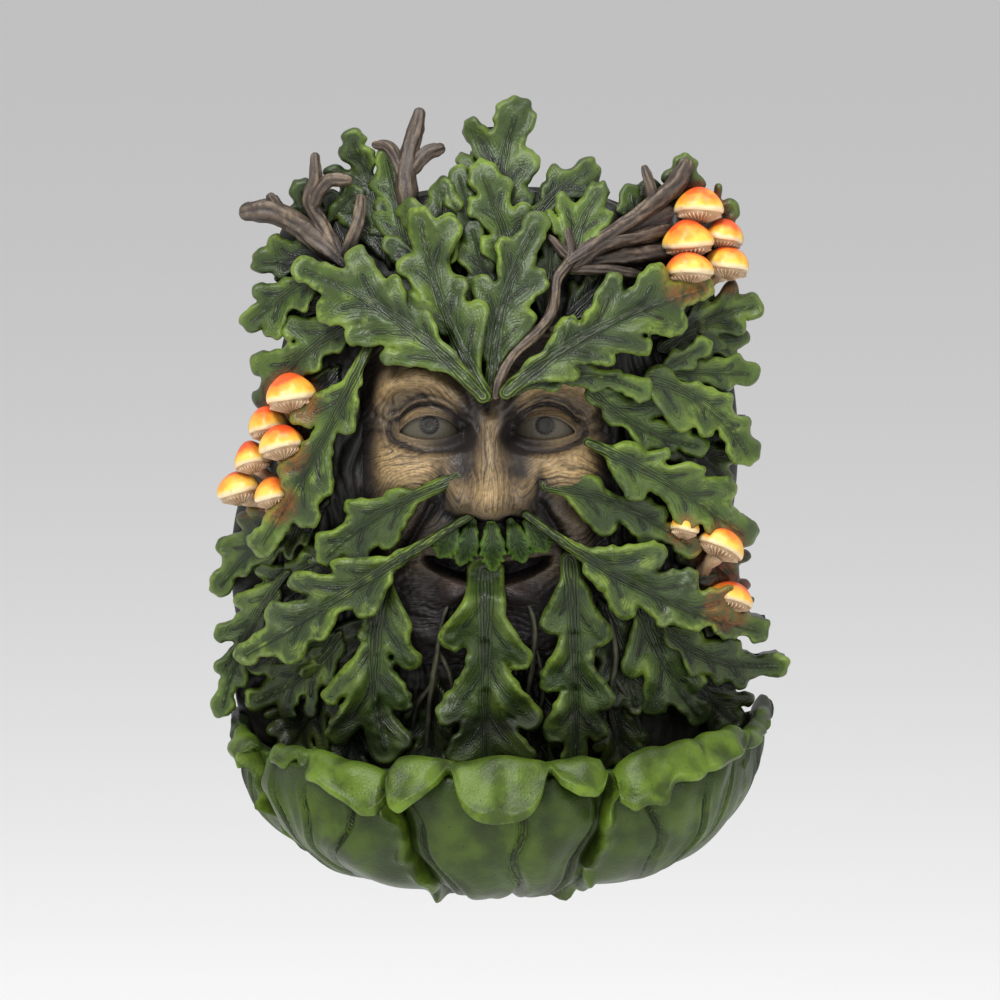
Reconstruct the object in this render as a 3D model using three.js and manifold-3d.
// A wall-hung green man: a foliate face framed in oak leaves, with twigs, mushrooms and a
// hollow half bowl of leaves under the beard. It is cast as one piece with a flat back.
// Millimetres, +Z up, the face looks along -Y, the flat back lies on y = 0.

import * as THREE from 'three';
import { mergeVertices } from 'three/addons/utils/BufferGeometryUtils.js';
import Module from 'manifold-3d';

const wasm = await Module();
wasm.setup();

// Driving dimensions

const BACK_HALF_WIDTH = 80;      // body behind the leaves, half width
const BACK_HALF_HEIGHT = 116;    // body behind the leaves, half height
const BACK_CENTRE_Z = -6;
const BACK_SQUARE = 3;           // how square its outline is, 2 being round
const RIM_DEPTH = 14;            // how far the relief stands off the wall at its rim
const DOME_DEPTH = 34;           // further rise to the middle
const DOME_HALF_WIDTH = 92;
const DOME_HALF_HEIGHT = 128;
const BODY_SINK = 5;             // the body lies this far under the leaves' own base
const CORNER_AT = [62, -12, 92];
const CORNER_RADIUS = 19;
const CORNER_DEPTH = 11;
const LEAF_ROOT = 8;             // a leaf's underside lies this far under the base
const LEAF_ROOT_STEP = 1.3;      // neighbouring undersides differ by this
const VEIN_SWEEP = 48;           // degrees between a side vein and the midrib

const FACE_X = -4.4;             // middle line of the face
const EYE_Z = 31.8;              // height of the eyes
const EYE_APART = 19.8;          // middle line to the middle of an eye
const EYE_RADIUS = 9.5;
const FACE_SWELL = 14;
const NOSE_LENGTH = 31;
const NOSE_RISE = 12;
const TUFT_WIDTH = 8;            // leaflets under the nose
const TUFT_THICKNESS = 4.5;
const TUFT_OUT = 9;
const TUFT_LEAN = 0.3;

const BOWL_HALF_WIDTH = 90;
const BOWL_REACH = 103;          // wall to the bowl's front
const BOWL_RIM_Z = -81;
const BOWL_HEIGHT = 52;
const BOWL_WALL = 5;
const BOWL_BACK_THICKNESS = 7;
const BOWL_BACK_RISE = 18;       // the flat back goes on above the rim by this
const BOWL_BACK_STEP = 12;
const WALL_START = 8;            // degrees from the bowl's lowest point where its wall starts
const PETAL_THICKNESS = 5;
const RIM_ROLL = 8.5;            // radius of a bowl leaf's rolled edge

const KEYHOLE_Z = 78;            // hanging recess in the back
const KEYHOLE_HEAD = 5.6;
const KEYHOLE_NECK = 3;
const KEYHOLE_RISE = 8;
const KEYHOLE_DEPTH = 6;

const CAP_TIP = 20;              // degrees a mushroom's cap tips back to the wall
const CAP_SIDES = 7;
const STEM_ROOT = 2;             // a mushroom's stem ends this deep in the body
const TWIG_SIDES = 5;
const TWIG_STEP = 18;

// Leaves: where the stem starts and the tip ends in the front view, how far the midrib bows to
// the left of the way to the tip, the radius of the rounded end, how deep the notches cut
// (share of the lobe left), how far stem and tip stand above the base, and on each side the
// lobes as [share of the midrib where the lobe's vein leaves, length of that vein].

const LEAVES = [
  { name: 'crest', stem: [0, 92], tip: [6, 142.5],
    bow: 2.5, end: 6, cut: 0.5, lift: [0, 5],
    left: [[0.38, 20], [0.61, 20.5]],
    right: [[0.17, 16], [0.49, 16]] },
  { name: 'crest right', stem: [10, 99.5], tip: [33.5, 120],
    bow: 2, end: 3, cut: 0.5, lift: [3, 2],
    left: [[0.34, 7], [0.49, 10]],
    right: [[0.08, 15.5], [0.69, 12]] },
  { name: 'upper mid', stem: [5, 88.5], tip: [-7.5, 121.5],
    bow: 0, end: 4.5, cut: 0.5, lift: [5, 9],
    left: [[0.05, 12.5], [0.53, 11.5]],
    right: [[0.21, 14.5], [0.66, 10.5]] },
  { name: 'upper right', stem: [25, 86.5], tip: [35, 113.5],
    bow: 2, end: 3, cut: 0.5, lift: [6, 7],
    left: [[0.22, 16], [0.46, 14.5]],
    right: [[0.08, 13], [0.50, 12.5]] },
  { name: 'top left', stem: [-38, 85.5], tip: [-52, 131],
    bow: -2, end: 3, cut: 0.5, lift: [0, 2],
    left: [[0.22, 22.5], [0.56, 19], [0.84, 8.5]],
    right: [[0.28, 7], [0.49, 7.5], [0.81, 6]] },
  { name: 'left shoulder', stem: [-54, 89], tip: [-86, 85],
    bow: 1, end: 3, cut: 0.55, lift: [3, 3],
    left: [[0.33, 8], [0.68, 7.5]],
    right: [[0.22, 13], [0.62, 12]] },
  { name: 'left upper back', stem: [-18, 65.5], tip: [-20, 115.5],
    bow: 1.5, end: 3, cut: 0.55, lift: [2, 7],
    left: [[0.31, 25.5], [0.64, 19]],
    right: [[0.56, 8], [0.80, 9.5]] },
  { name: 'brow left inner', stem: [-4.5, 44], tip: [-29, 106],
    bow: 3.5, end: 4, cut: 0.55, lift: [11, 12],
    left: [[0.48, 16], [0.69, 13.5]],
    right: [[0.26, 19], [0.50, 13.5], [0.80, 17.5]] },
  { name: 'brow centre', stem: [-3, 44.5], tip: [13.5, 104.5],
    bow: 4, end: 3.5, cut: 0.55, lift: [8, 13],
    left: [[0.46, 15], [0.74, 11]],
    right: [[0.30, 16.5], [0.57, 16]] },
  { name: 'brow left', stem: [-6, 44], tip: [-71, 86.5],
    bow: -5, end: 3.5, cut: 0.58, lift: [14, 16],
    left: [[0.20, 8], [0.28, 20.5], [0.48, 21.5], [0.70, 17.5]],
    right: [[0.36, 11], [0.51, 15.5], [0.68, 18.5]] },
  { name: 'brow right', stem: [2, 45.5], tip: [73, 79.5],
    bow: 4.5, end: 3, cut: 0.58, lift: [14, 16],
    left: [[0.32, 11.5], [0.51, 19], [0.72, 16]],
    right: [[0.19, 14.5], [0.34, 17], [0.50, 20], [0.73, 16.5]] },
  { name: 'brow right low', stem: [4, 45], tip: [52.5, 44],
    bow: 5.5, end: 3, cut: 0.7, lift: [7, 5],
    left: [[0.48, 6.5], [0.77, 4.5]],
    right: [[0.26, 6], [0.58, 7]] },
  { name: 'side left 1', stem: [-60, 83.5], tip: [-89, 63],
    bow: -1, end: 3, cut: 0.5, lift: [8, 7],
    left: [[0.28, 10], [0.67, 13]],
    right: [[0.36, 6], [0.58, 11]] },
  { name: 'side left 2', stem: [-49.5, 67], tip: [-84.5, 36],
    bow: -3, end: 3, cut: 0.5, lift: [4, 4],
    left: [[0.16, 8], [0.39, 9.5], [0.70, 9.5]],
    right: [[0.29, 16], [0.67, 14]] },
  { name: 'cheek left', stem: [-42, 65.5], tip: [-84.5, -14.5],
    bow: 1.5, end: 4, cut: 0.52, lift: [10, 13],
    left: [[0.21, 4], [0.36, 9.5], [0.59, 14], [0.72, 15.5]],
    right: [[0.28, 11.5], [0.35, 18], [0.63, 11], [0.86, 5]] },
  { name: 'jaw left 1', stem: [-70, 1], tip: [-100, -30.5],
    bow: -1, end: 3, cut: 0.5, lift: [1, 2],
    left: [[0.38, 8], [0.69, 6]],
    right: [[0.24, 14.5], [0.57, 12.5]] },
  { name: 'jaw left 3', stem: [-73.5, -21], tip: [-98.5, -73.5],
    bow: -3, end: 3, cut: 0.5, lift: [4, 5],
    left: [[0.35, 3], [0.48, 8], [0.74, 8]],
    right: [[0.23, 12.5], [0.45, 13.5], [0.71, 8]] },
  { name: 'moustache left up', stem: [-14.5, 15], tip: [-63, -15.5],
    bow: -3, end: 3, cut: 0.58, lift: [5, 8],
    left: [[0.45, 16], [0.73, 15]],
    right: [[0.36, 3], [0.58, 12], [0.88, 9]] },
  { name: 'moustache left', stem: [-10, 3], tip: [-91.5, -52],
    bow: 0, end: 3, cut: 0.55, lift: [10, 15],
    left: [[0.45, 14], [0.66, 11.5], [0.78, 14.5]],
    right: [[0.43, 15], [0.56, 19.5], [0.76, 12.5]] },
  { name: 'beard left back', stem: [-55.5, -41.5], tip: [-88, -70.5],
    bow: 3, end: 3, cut: 0.5, lift: [2, 3],
    left: [[0.22, 13.5], [0.43, 18], [0.66, 13.5]],
    right: [[0.19, 11.5], [0.58, 12]] },
  { name: 'beard left', stem: [-40, -21], tip: [-40, -86.5],
    bow: -3.5, end: 4.5, cut: 0.45, lift: [5, 10],
    left: [[0.09, 17], [0.26, 21.5], [0.59, 16], [0.86, 13]],
    right: [[0.29, 7], [0.48, 23.5], [0.69, 24]] },
  { name: 'beard centre', stem: [-5, -18.5], tip: [-5.5, -95.5],
    bow: 0, end: 4.5, cut: 0.45, lift: [9, 14],
    left: [[0.26, 20.5], [0.51, 25.5], [0.73, 22.5]],
    right: [[0.17, 20], [0.53, 21], [0.77, 16.5]] },
  { name: 'beard right', stem: [24, -14.5], tip: [26, -88.5],
    bow: 1, end: 3.5, cut: 0.45, lift: [5, 10],
    left: [[0.27, 16], [0.59, 17], [0.77, 14]],
    right: [[0.21, 14], [0.49, 16], [0.76, 14.5]] },
  { name: 'moustache right', stem: [8.5, 3.5], tip: [93, -43.5],
    bow: -4.5, end: 3, cut: 0.55, lift: [10, 15],
    left: [[0.38, 21], [0.58, 16.5], [0.76, 15.5]],
    right: [[0.42, 16], [0.60, 11], [0.74, 6], [0.86, 7.5]] },
  { name: 'moustache right up', stem: [16, 12.5], tip: [69.5, -12.5],
    bow: 3.5, end: 3.5, cut: 0.62, lift: [5, 6],
    left: [[0.46, 3.5], [0.68, 7.5]],
    right: [[0.29, 15.5], [0.64, 11.5]] },
  { name: 'cheek right', stem: [30, 27], tip: [88.5, -10],
    bow: 2, end: 4, cut: 0.6, lift: [9, 11],
    left: [[0.22, 6.5], [0.29, 13], [0.47, 14.5], [0.66, 15.5]],
    right: [[0.26, 13.5], [0.60, 13], [0.82, 10.5]] },
  { name: 'brow right side', stem: [29.5, 46], tip: [71.5, 21.5],
    bow: -3.5, end: 3, cut: 0.6, lift: [4, 5],
    left: [[0.13, 10], [0.36, 16.5], [0.75, 10]],
    right: [[0.53, 9], [0.76, 6]] },
  { name: 'side right top', stem: [56, 57.5], tip: [91, 71.5],
    bow: 1.5, end: 3, cut: 0.52, lift: [0, 3],
    left: [[0.38, 15], [0.67, 12.5]],
    right: [[0.05, 14], [0.26, 16.5], [0.64, 11]] },
  { name: 'side right mid', stem: [52.5, 49], tip: [90, 46.5],
    bow: 1, end: 3, cut: 0.6, lift: [4, 4],
    left: [[0.41, 5], [0.76, 7.5]],
    right: [[0.34, 8], [0.65, 8.5]] },
  { name: 'side right low', stem: [52, 47.5], tip: [89, 18],
    bow: 4.5, end: 4, cut: 0.55, lift: [8, 12],
    left: [[0.31, 5.5], [0.50, 10], [0.75, 8]],
    right: [[0.12, 18], [0.48, 11.5], [0.85, 7.5]] },
  { name: 'jaw right 1', stem: [47.5, -27], tip: [71, -75],
    bow: -2.5, end: 3, cut: 0.5, lift: [2, 5],
    left: [[0.12, 12], [0.33, 15], [0.68, 11.5]],
    right: [[0.29, 18], [0.59, 18]] },
  { name: 'jaw right 2', stem: [57.5, -39.5], tip: [100, -56.5],
    bow: -5, end: 3, cut: 0.6, lift: [6, 9],
    left: [[0.13, 8.5], [0.46, 11.5]],
    right: [[0.25, 11], [0.45, 11], [0.64, 10.5]] },
  { name: 'corner top', stem: [63.5, 99], tip: [64, 122.5],
    bow: 0, end: 3, cut: 0.5, lift: [1, 2],
    left: [[0.17, 8.5], [0.53, 10]],
    right: [[0.07, 10.5], [0.48, 9.5]] },
  { name: 'corner right', stem: [70, 95.5], tip: [82, 105],
    bow: 1, end: 2.5, cut: 0.55, lift: [-2, -1],
    left: [[0.21, 9], [0.58, 12]],
    right: [[0.20, 10.5]] },
  { name: 'corner left', stem: [49.5, 97], tip: [44, 112],
    bow: 0, end: 2.5, cut: 0.55, lift: [1, 2],
    left: [[0.45, 8]],
    right: [[0.62, 5]] },
];

// Twigs: points along the middle as [x, z, height above the base] and the radii at both ends.

const TWIGS = [
  { name: 'left twig', radii: [3.4, 2.6],
    path: [[-87, 103, 6], [-78, 103, 7], [-69, 98, 7], [-62, 92, 6], [-54, 86, 2]] },
  { name: 'left twig stub', radii: [2.2, 2.4],
    path: [[-79, 108, 8], [-76, 103, 6]] },
  { name: 'left twig fork', radii: [1.8, 2.8],
    path: [[-64, 122, 5], [-64, 114, 6], [-66, 107, 6], [-62, 99, 6], [-54, 86, 2]] },
  { name: 'left twig inner', radii: [2.4, 2.4],
    path: [[-53, 114, 7], [-59, 114, 7], [-63, 110, 7], [-65, 104, 6]] },
  { name: 'left twig spur', radii: [1.9, 2.2],
    path: [[-48, 108, 7], [-49, 100, 8], [-51, 94, 7], [-53, 87, 2]] },
  { name: 'top twig', radii: [2.4, 3.2],
    path: [[-28, 137, 4], [-31, 125, 6], [-32.5, 116, 6], [-32, 106, 2]] },
  { name: 'top twig left', radii: [1.7, 2.4],
    path: [[-43, 126, 3], [-38.5, 125.5, 5], [-35, 120, 6], [-33, 114, 5]] },
  { name: 'top twig right', radii: [2.6, 2.4],
    path: [[-21, 125, 4], [-26, 123, 5], [-31, 117, 6]] },
  { name: 'brow twig', radii: [1.8, 2.2],
    path: [[23, 98, 7], [24, 89, 6], [19.5, 82, 6], [18, 72, 7], [13, 65, 9], [5, 58, 11], [0, 50, 9]] },
  { name: 'brow twig fork', radii: [1.5, 2.0],
    path: [[17, 96, 6], [23, 90, 6]] },
  { name: 'right twig', radii: [2.2, 2.8],
    path: [[24, 88, 8], [35, 95, 8], [45, 101, 8], [54, 107, 7], [60, 112, 6], [64, 119, 5]] },
  { name: 'right twig fork', radii: [1.7, 2.3],
    path: [[50, 118, 6], [52, 112, 7], [53, 107, 6]] },
  { name: 'right twig low', radii: [2.0, 2.6],
    path: [[26, 86, 6], [35, 93, 7], [46, 95, 6], [58, 97, 4]] },
  { name: 'right twig under', radii: [1.8, 2.2],
    path: [[25, 85, 5], [36, 84.5, 5], [48, 82, 3]] },
];

// Mushrooms: rim middle [x, z], height above the base, cap width, cap height, how far the cap
// leans sideways in degrees, and where the stem ends below, [x, z] from the rim middle.

const MUSHROOMS = [
  { name: 'right top 1', at: [69, 103], out: 6, width: 17.5, high: 9, lean: 0, foot: [0, -9] },
  { name: 'right top 2', at: [65, 90.5], out: 10, width: 18, high: 9, lean: 4, foot: [1, -8] },
  { name: 'right top 3', at: [65, 81.5], out: 13, width: 17, high: 8, lean: 3, foot: [2, -9] },
  { name: 'right top 4', at: [78, 93], out: 4, width: 13, high: 7, lean: -14, foot: [-9, -7] },
  { name: 'right top 5', at: [79.5, 83.5], out: 7, width: 14, high: 7, lean: -14, foot: [-9, -7] },
  { name: 'left 1', at: [-72, 39.5], out: 10, width: 17.5, high: 8.5, lean: 8, foot: [0, -9] },
  { name: 'left 2', at: [-80, 27], out: 8, width: 13, high: 10, lean: 10, foot: [8, -8] },
  { name: 'left 3', at: [-75, 23.5], out: 11, width: 16, high: 8, lean: 10, foot: [1, -8] },
  { name: 'left 4', at: [-85.5, 17], out: 7, width: 11.5, high: 7, lean: 12, foot: [9, -9] },
  { name: 'left 5', at: [-90.5, 5], out: 7, width: 14, high: 8, lean: 12, foot: [14, -6] },
  { name: 'left 6', at: [-77, 5], out: 8, width: 12.5, high: 7, lean: 8, foot: [-2, -8] },
  { name: 'right side 1', at: [63.5, -5], out: 8, width: 9, high: 6, lean: -8, foot: [2, -6] },
  { name: 'right side 2', at: [76, -12], out: 10, width: 15, high: 6.5, lean: -10, foot: [-7, -11] },
  { name: 'right side 3', at: [80, -31], out: 9, width: 16, high: 6, lean: -8, foot: [-2, -8] },
];

// Bowl leaves: middle and half width as angles round the bowl, how far they stand out from its
// wall, and the rise of the rim at the leaf's middle and at its two ends.

const PETALS = [
  { name: 'bowl far left', middle: -70, half: 27, proud: 2, rise: [0, 6, -2] },
  { name: 'bowl far right', middle: 68, half: 28, proud: 2, rise: [2, 0, 13] },
  { name: 'bowl left', middle: -36, half: 28, proud: 4, rise: [0, 2, -4] },
  { name: 'bowl right', middle: 40, half: 29, proud: 4, rise: [-1, -4, 5] },
  { name: 'bowl centre', middle: 1, half: 24, proud: 6, rise: [2, -4, -4] },
];

// Leaflets under the nose: top and tip, across from the face's middle line and up from the eyes

const TUFT = [
  [-12.5, -27, -15, -37],
  [-8.5, -27, -9.5, -38.5],
  [-2, -27, -2.5, -39],
  [3, -27, 5, -37.5],
  [7.5, -26, 13, -35],
];

// Base surface

function bump(a, b) {
  return Math.exp(-a * a - b * b);
}

function baseDepth(x, z) {
  const r2 = Math.min(1, (x / DOME_HALF_WIDTH) ** 2 + ((z + 2) / DOME_HALF_HEIGHT) ** 2);
  const swell = FACE_SWELL * bump((x - FACE_X) / 34, (z - EYE_Z + 8) / 46);
  return RIM_DEPTH + DOME_DEPTH * (1 - r2) ** 0.6 + swell;
}

// Joining

function solidOf(geometry) {
  const bare = geometry.clone();
  bare.deleteAttribute('normal');
  bare.deleteAttribute('uv');
  const merged = mergeVertices(bare, 1e-4);
  const index = merged.index.array;
  const corners = [];
  for (let i = 0; i < index.length; i += 3) {
    const [a, b, c] = [index[i], index[i + 1], index[i + 2]];
    if (a !== b && b !== c && c !== a) corners.push(a, b, c);
  }
  return new wasm.Manifold(new wasm.Mesh({
    numProp: 3,
    vertProperties: new Float32Array(merged.attributes.position.array),
    triVerts: new Uint32Array(corners),
  }));
}

function geometryOf(solid) {
  const mesh = solid.getMesh();
  const geometry = new THREE.BufferGeometry();
  geometry.setAttribute('position', new THREE.BufferAttribute(new Float32Array(mesh.vertProperties), 3));
  geometry.setIndex(new THREE.BufferAttribute(new Uint32Array(mesh.triVerts), 1));
  geometry.computeVertexNormals();
  return geometry;
}

function moved(geometry, rule) {
  const position = geometry.attributes.position;
  const point = new THREE.Vector3();
  for (let i = 0; i < position.count; i += 1) {
    point.fromBufferAttribute(position, i);
    rule(point);
    position.setXYZ(i, point.x, point.y, point.z);
  }
  return geometry;
}

// Leaves

function midribAt(leaf, share) {
  const stem = new THREE.Vector2(...leaf.stem);
  const way = new THREE.Vector2(...leaf.tip).sub(stem);
  const length = way.length();
  const along = way.clone().divideScalar(length);
  const side = new THREE.Vector2(-along.y, along.x);
  const reach = length - leaf.end;
  const bow = 4 * leaf.bow * share * (1 - share);
  const slope = 4 * leaf.bow * (1 - 2 * share) / reach;
  const point = stem.clone().addScaledVector(along, reach * share).addScaledVector(side, bow);
  const direction = along.clone().addScaledVector(side, slope).normalize();
  return { point, direction };
}

function edgePoint(leaf, share, vein, sweep, side) {
  const { point, direction } = midribAt(leaf, share);
  const angle = THREE.MathUtils.degToRad(sweep) * side;
  return point.clone().addScaledVector(direction.clone().rotateAround(new THREE.Vector2(), angle), vein);
}

// One side of a leaf from stem to tip: a notch before each lobe, a rounded end at the tip
function leafSide(leaf, lobes, side) {
  const stemHalf = 1.2;
  const peaks = [...lobes, [1, leaf.end]];
  const points = [edgePoint(leaf, 0, stemHalf, 90, side)];
  peaks.forEach(([share, vein], i) => {
    const before = i === 0 ? [Math.max(0, share - 0.32), stemHalf / leaf.cut] : peaks[i - 1];
    const notchShare = before[0] + (share - before[0]) * 0.52;
    const notch = Math.max(stemHalf, Math.min(before[1], vein) * leaf.cut);
    points.push(edgePoint(leaf, notchShare, notch, VEIN_SWEEP, side));
    if (i < peaks.length - 1) {
      const shoulder = notch + (vein - notch) * 0.86;
      points.push(edgePoint(leaf, share - (share - notchShare) * 0.5, shoulder, VEIN_SWEEP, side));
      points.push(edgePoint(leaf, share + (peaks[i + 1][0] - share) * 0.14, vein, VEIN_SWEEP, side));
    } else {
      points.push(edgePoint(leaf, 1, vein, VEIN_SWEEP * 1.2, side));
      points.push(edgePoint(leaf, 1, vein * 1.05, VEIN_SWEEP * 0.4, side));
    }
  });
  return points;
}

function leafSolid(leaf, root) {
  const outline = new THREE.Shape([
    ...leafSide(leaf, leaf.right, -1),
    ...leafSide(leaf, leaf.left, 1).reverse(),
  ]);
  const stem = new THREE.Vector2(...leaf.stem);
  const way = new THREE.Vector2(...leaf.tip).sub(stem);
  const prism = new THREE.ExtrudeGeometry(outline, { depth: 1, bevelEnabled: false });
  return solidOf(moved(prism, (p) => {
    const reach = new THREE.Vector2(p.x, p.y).sub(stem).dot(way) / way.lengthSq();
    const share = THREE.MathUtils.clamp(reach, 0, 1);
    const lift = leaf.lift[0] + (leaf.lift[1] - leaf.lift[0]) * share;
    const depth = baseDepth(p.x, p.y) + (p.z > 0.5 ? lift : -root);
    p.set(p.x, -depth, p.y);
  }));
}

// Twigs

function twigSolid(twig) {
  const curve = new THREE.CatmullRomCurve3(twig.path.map(([x, z, out]) => (
    new THREE.Vector3(x, -(baseDepth(x, z) + out), z))));
  const steps = Math.max(1, Math.round(curve.getLength() / TWIG_STEP));
  const rod = new THREE.CylinderGeometry(1, 1, 1, TWIG_SIDES, steps);
  const outward = new THREE.Vector3(0, -1, 0);
  return solidOf(moved(rod, (p) => {
    const share = THREE.MathUtils.clamp(p.y + 0.5, 0, 1);
    const middle = curve.getPoint(share);
    const along = curve.getTangent(share);
    const across = new THREE.Vector3().crossVectors(along, outward).normalize();
    const up = new THREE.Vector3().crossVectors(across, along).normalize();
    const radius = twig.radii[0] + (twig.radii[1] - twig.radii[0]) * share;
    const offset = across.multiplyScalar(p.x * radius).addScaledVector(up, p.z * radius);
    p.copy(middle).add(offset);
  }));
}

// Mushrooms

function mushroomSolid(mushroom) {
  const half = mushroom.width / 2;
  const profile = [
    [0, mushroom.high],
    [half * 0.62, mushroom.high * 0.74],
    [half, mushroom.high * 0.12],
    [0, -0.5],
  ].map(([r, y]) => new THREE.Vector2(r, y)).reverse();
  const cap = new THREE.LatheGeometry(profile, CAP_SIDES);
  const [x, z] = mushroom.at;
  const depth = baseDepth(x, z) + mushroom.out;
  cap.rotateX(Math.PI / 2 + THREE.MathUtils.degToRad(-CAP_TIP));
  cap.rotateY(THREE.MathUtils.degToRad(-mushroom.lean));
  cap.translate(x, -depth, z);
  const foot = [x + mushroom.foot[0], z + mushroom.foot[1]];
  const stem = twigSolid({
    path: [[x, z, mushroom.out], [foot[0], foot[1], -BODY_SINK - STEM_ROOT]],
    radii: [1.8, 2.4],
  });
  return solidOf(cap).add(stem);
}

// Face

const FACE_COLUMNS = [0, 4.5, 9, 13, 19, 25, 33, 43];
const FACE_ROWS = [-84, -72, -64, -57, -51, -44, -34, -29, -24, -18, -12, -6, 0, 6, 12, 20, 32];

function ease(from, to, value) {
  const share = THREE.MathUtils.clamp((value - from) / (to - from), 0, 1);
  return share * share * (3 - 2 * share);
}

// How far the face stands off the base surface; across from its middle line, up from the eyes
function faceRelief(across, up) {
  const side = Math.abs(across);
  const browLine = 13 - 0.012 * (side - 17) ** 2;
  const brow = 5 * bump((up - browLine) / 5.5, 0) * ease(2, 8, side) * (1 - ease(30, 42, side));
  const socket = -8 * bump((side - EYE_APART + 1) / 10, (up - 1) / 6.5);
  const lid = 3.2 * bump((side - EYE_APART) / 9, (up - 6 + 0.03 * (side - EYE_APART) ** 2) / 2)
    + 2.6 * bump((side - EYE_APART) / 9, (up + 5.5 - 0.02 * (side - EYE_APART) ** 2) / 2);
  const down = THREE.MathUtils.clamp((6 - up) / NOSE_LENGTH, 0, 1);
  const ridge = Math.exp(-((side / (5.5 + 3.5 * down)) ** 2.6));
  const bridge = (2 + NOSE_RISE * down ** 1.2) * ridge * ease(-33, -25, up) * (1 - ease(4, 16, up));
  const tip = 3.5 * bump(across / 9, (up + 23) / 6);
  const wings = 7 * bump((side - 11.5) / 5, (up + 24.5) / 5);
  const cheek = 7 * bump((side - 27) / 11, (up + 16) / 10);
  const lip = 5 * bump(across / 19, (up + 39) / 9);
  const mouth = -14 * bump((across / 21) ** 2, ((up + 54 - 0.008 * across ** 2) / 5.5) ** 2);
  const chin = 4 * bump(across / 16, (up + 64) / 4.5) + 4 * bump(across / 20, (up + 77) / 9);
  return brow + socket + lid + bridge + tip + wings + cheek + lip + mouth + chin;
}

function faceSolid() {
  const columns = [...FACE_COLUMNS.slice(1).map((c) => -c).reverse(), ...FACE_COLUMNS];
  const across = columns.length - 1;
  const rows = FACE_ROWS.length - 1;
  const box = new THREE.BoxGeometry(across, rows, 1, across, rows, 1);
  const skin = solidOf(moved(box, (p) => {
    const a = columns[Math.round(p.x + across / 2)];
    const up = FACE_ROWS[Math.round(p.y + rows / 2)];
    const round = 1 - 0.22 * Math.abs(up / 90) ** 2;
    const x = FACE_X + a * round;
    const z = EYE_Z + up;
    const rim = ease(34, 45, Math.abs(a)) * 4 + ease(30, 46, up) * 4 + ease(-70, -88, up) * 4;
    const front = baseDepth(x, z) + faceRelief(a, up) - rim;
    p.set(x, p.z > 0 ? -front : -6, z);
  }));
  const eyes = [-1, 1].map((side) => {
    const x = FACE_X + side * EYE_APART;
    const ball = new THREE.SphereGeometry(EYE_RADIUS, 8, 6);
    ball.rotateX(Math.PI / 2);
    ball.translate(x, -(baseDepth(x, EYE_Z) - EYE_RADIUS - 1), EYE_Z);
    return solidOf(ball);
  });
  return eyes.reduce((whole, eye) => whole.add(eye), skin);
}

// Body behind the leaves

function bodySolid() {
  const profile = [[0, 0], [1, 0], [1, 0.8], [0.95, 1], [0.78, 1], [0.52, 1], [0.26, 1], [0, 1]]
    .map(([r, h]) => new THREE.Vector2(r, h));
  const lathe = new THREE.LatheGeometry(profile, 20);
  return solidOf(moved(lathe, (p) => {
    const reach = Math.hypot(p.x, p.z);
    const square = (Math.abs(p.x) ** BACK_SQUARE + Math.abs(p.z) ** BACK_SQUARE) ** (1 / BACK_SQUARE);
    const grow = square > 0 ? reach / square : 1;
    const x = BACK_HALF_WIDTH * p.x * grow;
    const z = BACK_CENTRE_Z - BACK_HALF_HEIGHT * p.z * grow;
    p.set(x, -p.y * (baseDepth(x, z) - BODY_SINK), z);
  }));
}

// Bowl

function bowlPoint(turn, lower, out) {
  const angle = THREE.MathUtils.degToRad(turn);
  const tilt = THREE.MathUtils.degToRad(lower);
  const round = Math.sin(tilt) ** 0.9;
  const sideways = Math.sign(angle) * Math.abs(Math.sin(angle)) ** 0.85;
  const forward = Math.max(0, Math.cos(angle)) ** 0.85;
  return new THREE.Vector3(
    (BOWL_HALF_WIDTH + out) * round * sideways,
    -(BOWL_REACH + out) * round * forward,
    BOWL_RIM_Z - (BOWL_HEIGHT + out) * Math.cos(tilt),
  );
}

function basinSolid() {
  const box = new THREE.BoxGeometry(1, 1, 1, 14, 4, 1);
  const wall = solidOf(moved(box, (p) => {
    const lower = WALL_START + (90 - WALL_START) * (p.y + 0.5);
    p.copy(bowlPoint(p.x * 180, lower, p.z > 0 ? 0 : -BOWL_WALL));
  }));
  const foot = new THREE.SphereGeometry(1, 8, 4);
  foot.rotateX(Math.PI / 2);
  foot.scale(24, 26, 9);
  foot.translate(0, 0, BOWL_RIM_Z - BOWL_HEIGHT + 8);
  return wall.add(solidOf(foot));
}

// The flat back of the bowl, from one end of its rim to the other
function bowlBackSolid() {
  const edge = [];
  for (let turn = -90; turn <= 90; turn += 180) {
    const rows = [90, 72, 54, 36, 18];
    const side = rows.map((lower) => bowlPoint(turn, lower, 0)).map((p) => new THREE.Vector2(p.x, p.z));
    edge.push(...(turn < 0 ? side : side.reverse()));
  }
  const outline = new THREE.Shape([
    ...edge,
    new THREE.Vector2(BOWL_HALF_WIDTH, BOWL_RIM_Z),
    new THREE.Vector2(BOWL_HALF_WIDTH - BOWL_BACK_STEP, BOWL_RIM_Z + BOWL_BACK_RISE),
    new THREE.Vector2(BOWL_BACK_STEP - BOWL_HALF_WIDTH, BOWL_RIM_Z + BOWL_BACK_RISE),
  ].filter((p, i, all) => i === 0 || p.distanceTo(all[i - 1]) > 0.01));
  const slab = new THREE.ExtrudeGeometry(outline, { depth: BOWL_BACK_THICKNESS, bevelEnabled: false });
  slab.rotateX(Math.PI / 2);
  return solidOf(slab);
}

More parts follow.
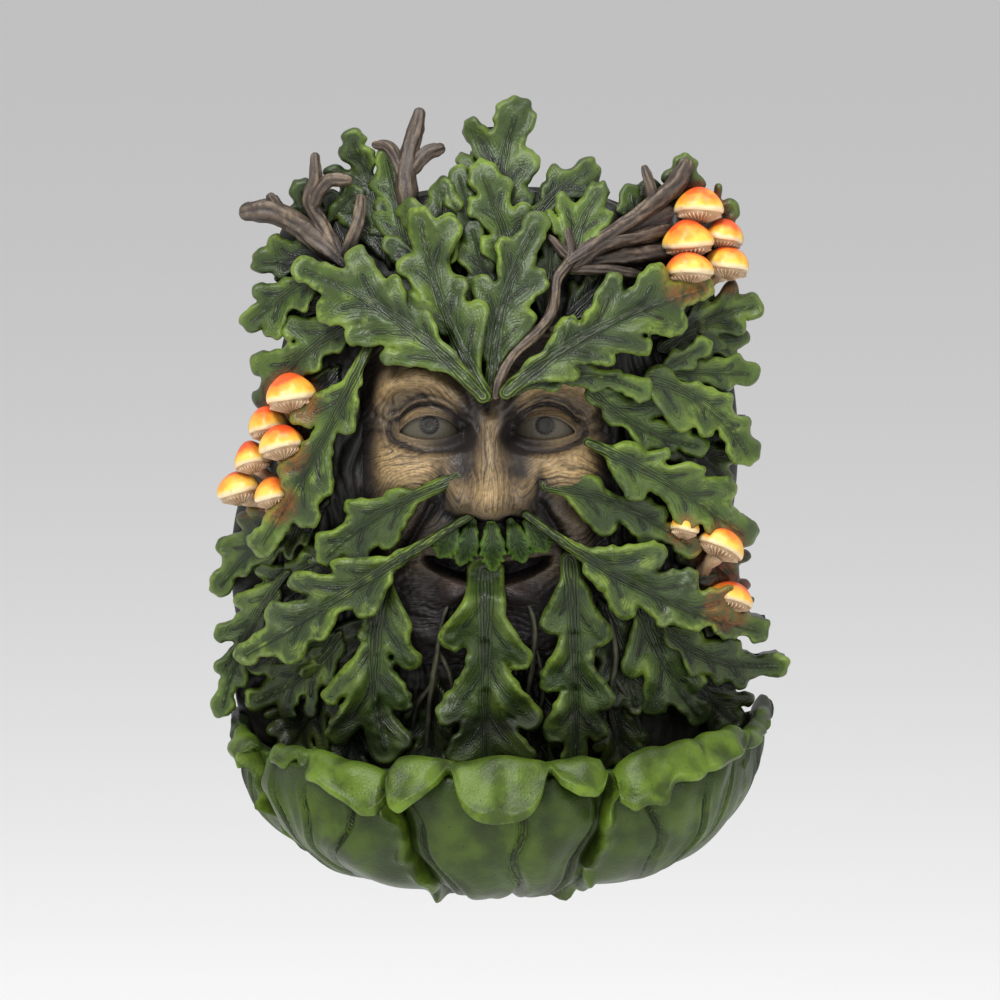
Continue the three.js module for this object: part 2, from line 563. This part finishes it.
function petalSolid(petal) {
  const wallShare = 4 / 7;
  const box = new THREE.BoxGeometry(1, 1, 1, 4, 7, 1);
  return solidOf(moved(box, (p) => {
    const side = p.x * 2;
    const along = p.y + 0.5;
    const spread = petal.half * (0.5 + 0.5 * Math.sin(Math.PI / 2 * Math.min(1, along / 0.6)));
    const turn = THREE.MathUtils.clamp(petal.middle + side * spread, -90, 90);
    const out = p.z > 0 ? petal.proud : -BOWL_WALL / 2;
    const end = side < 0 ? petal.rise[1] : petal.rise[2];
    const rise = (petal.rise[0] + (end - petal.rise[0]) * side * side) * along * along;
    if (along <= wallShare) {
      const lower = WALL_START + (90 - WALL_START) * along / wallShare;
      p.copy(bowlPoint(turn, lower, out));
    } else {
      const curl = THREE.MathUtils.degToRad(150 * (along - wallShare) / (1 - wallShare));
      const facing = 0.35 + 0.65 * Math.cos(THREE.MathUtils.degToRad(turn));
      const radius = RIM_ROLL * (1 - 0.45 * side * side) * facing;
      const rim = bowlPoint(turn, 90, 0);
      const outward = new THREE.Vector3(rim.x, rim.y, 0).normalize();
      const reach = radius + (p.z > 0 ? -PETAL_THICKNESS / 2 : PETAL_THICKNESS / 2);
      p.copy(rim).addScaledVector(outward, radius - reach * Math.cos(curl));
      p.z += reach * Math.sin(curl);
    }
    p.z += rise;
  }));
}

// Lump behind the mushrooms at the top right
function cornerSolid() {
  const lump = new THREE.SphereGeometry(1, 10, 6);
  lump.rotateX(Math.PI / 2);
  lump.scale(CORNER_RADIUS, CORNER_DEPTH, CORNER_RADIUS);
  lump.translate(...CORNER_AT);
  return solidOf(lump);
}

// Hanging recess: a round entry with a narrow slot above it

function keyholeCut() {
  const entry = new THREE.CylinderGeometry(KEYHOLE_HEAD / 2, KEYHOLE_HEAD / 2, KEYHOLE_DEPTH * 2, 12);
  entry.translate(0, 0, KEYHOLE_Z);
  const slot = new THREE.BoxGeometry(KEYHOLE_NECK, KEYHOLE_DEPTH * 2, KEYHOLE_RISE);
  slot.translate(0, 0, KEYHOLE_Z + KEYHOLE_RISE / 2);
  return solidOf(entry).add(solidOf(slot));
}

// Leaflets under the nose

function tuftSolid([topX, topUp, tipX, tipUp]) {
  const length = Math.hypot(tipX - topX, tipUp - topUp) + 6;
  const leaf = new THREE.SphereGeometry(1, 6, 4);
  leaf.scale(TUFT_WIDTH / 2, length / 2, TUFT_THICKNESS);
  leaf.rotateZ(Math.atan2(tipX - topX, topUp - tipUp));
  const x = FACE_X + (topX + tipX) / 2;
  const z = EYE_Z + (topUp + tipUp) / 2 - 3;
  leaf.rotateX(Math.PI / 2 - TUFT_LEAN);
  leaf.translate(x, -(baseDepth(x, z) + TUFT_OUT), z);
  return solidOf(leaf);
}

// The whole casting

const pieces = [
  faceSolid(),
  ...LEAVES.map((leaf, i) => leafSolid(leaf, LEAF_ROOT + LEAF_ROOT_STEP * (i % 4))),
  ...TUFT.map(tuftSolid),
  ...TWIGS.map(twigSolid),
  ...MUSHROOMS.map(mushroomSolid),
  cornerSolid(),
  basinSolid(),
  bowlBackSolid(),
  ...PETALS.map(petalSolid),
];
const wallSide = new THREE.BoxGeometry(600, 100, 600);
wallSide.translate(0, 50, 0);
const casting = pieces.reduce((whole, piece) => whole.add(piece), bodySolid())
  .subtract(solidOf(wallSide))
  .subtract(keyholeCut());

const paint = new THREE.MeshStandardMaterial({ color: 0x50703a, roughness: 0.55, metalness: 0 });
const mask = new THREE.Mesh(geometryOf(casting), paint);
mask.name = 'green_man_mask';

const greenMan = new THREE.Group();
greenMan.name = 'green man';
greenMan.add(mask);

export default greenMan;
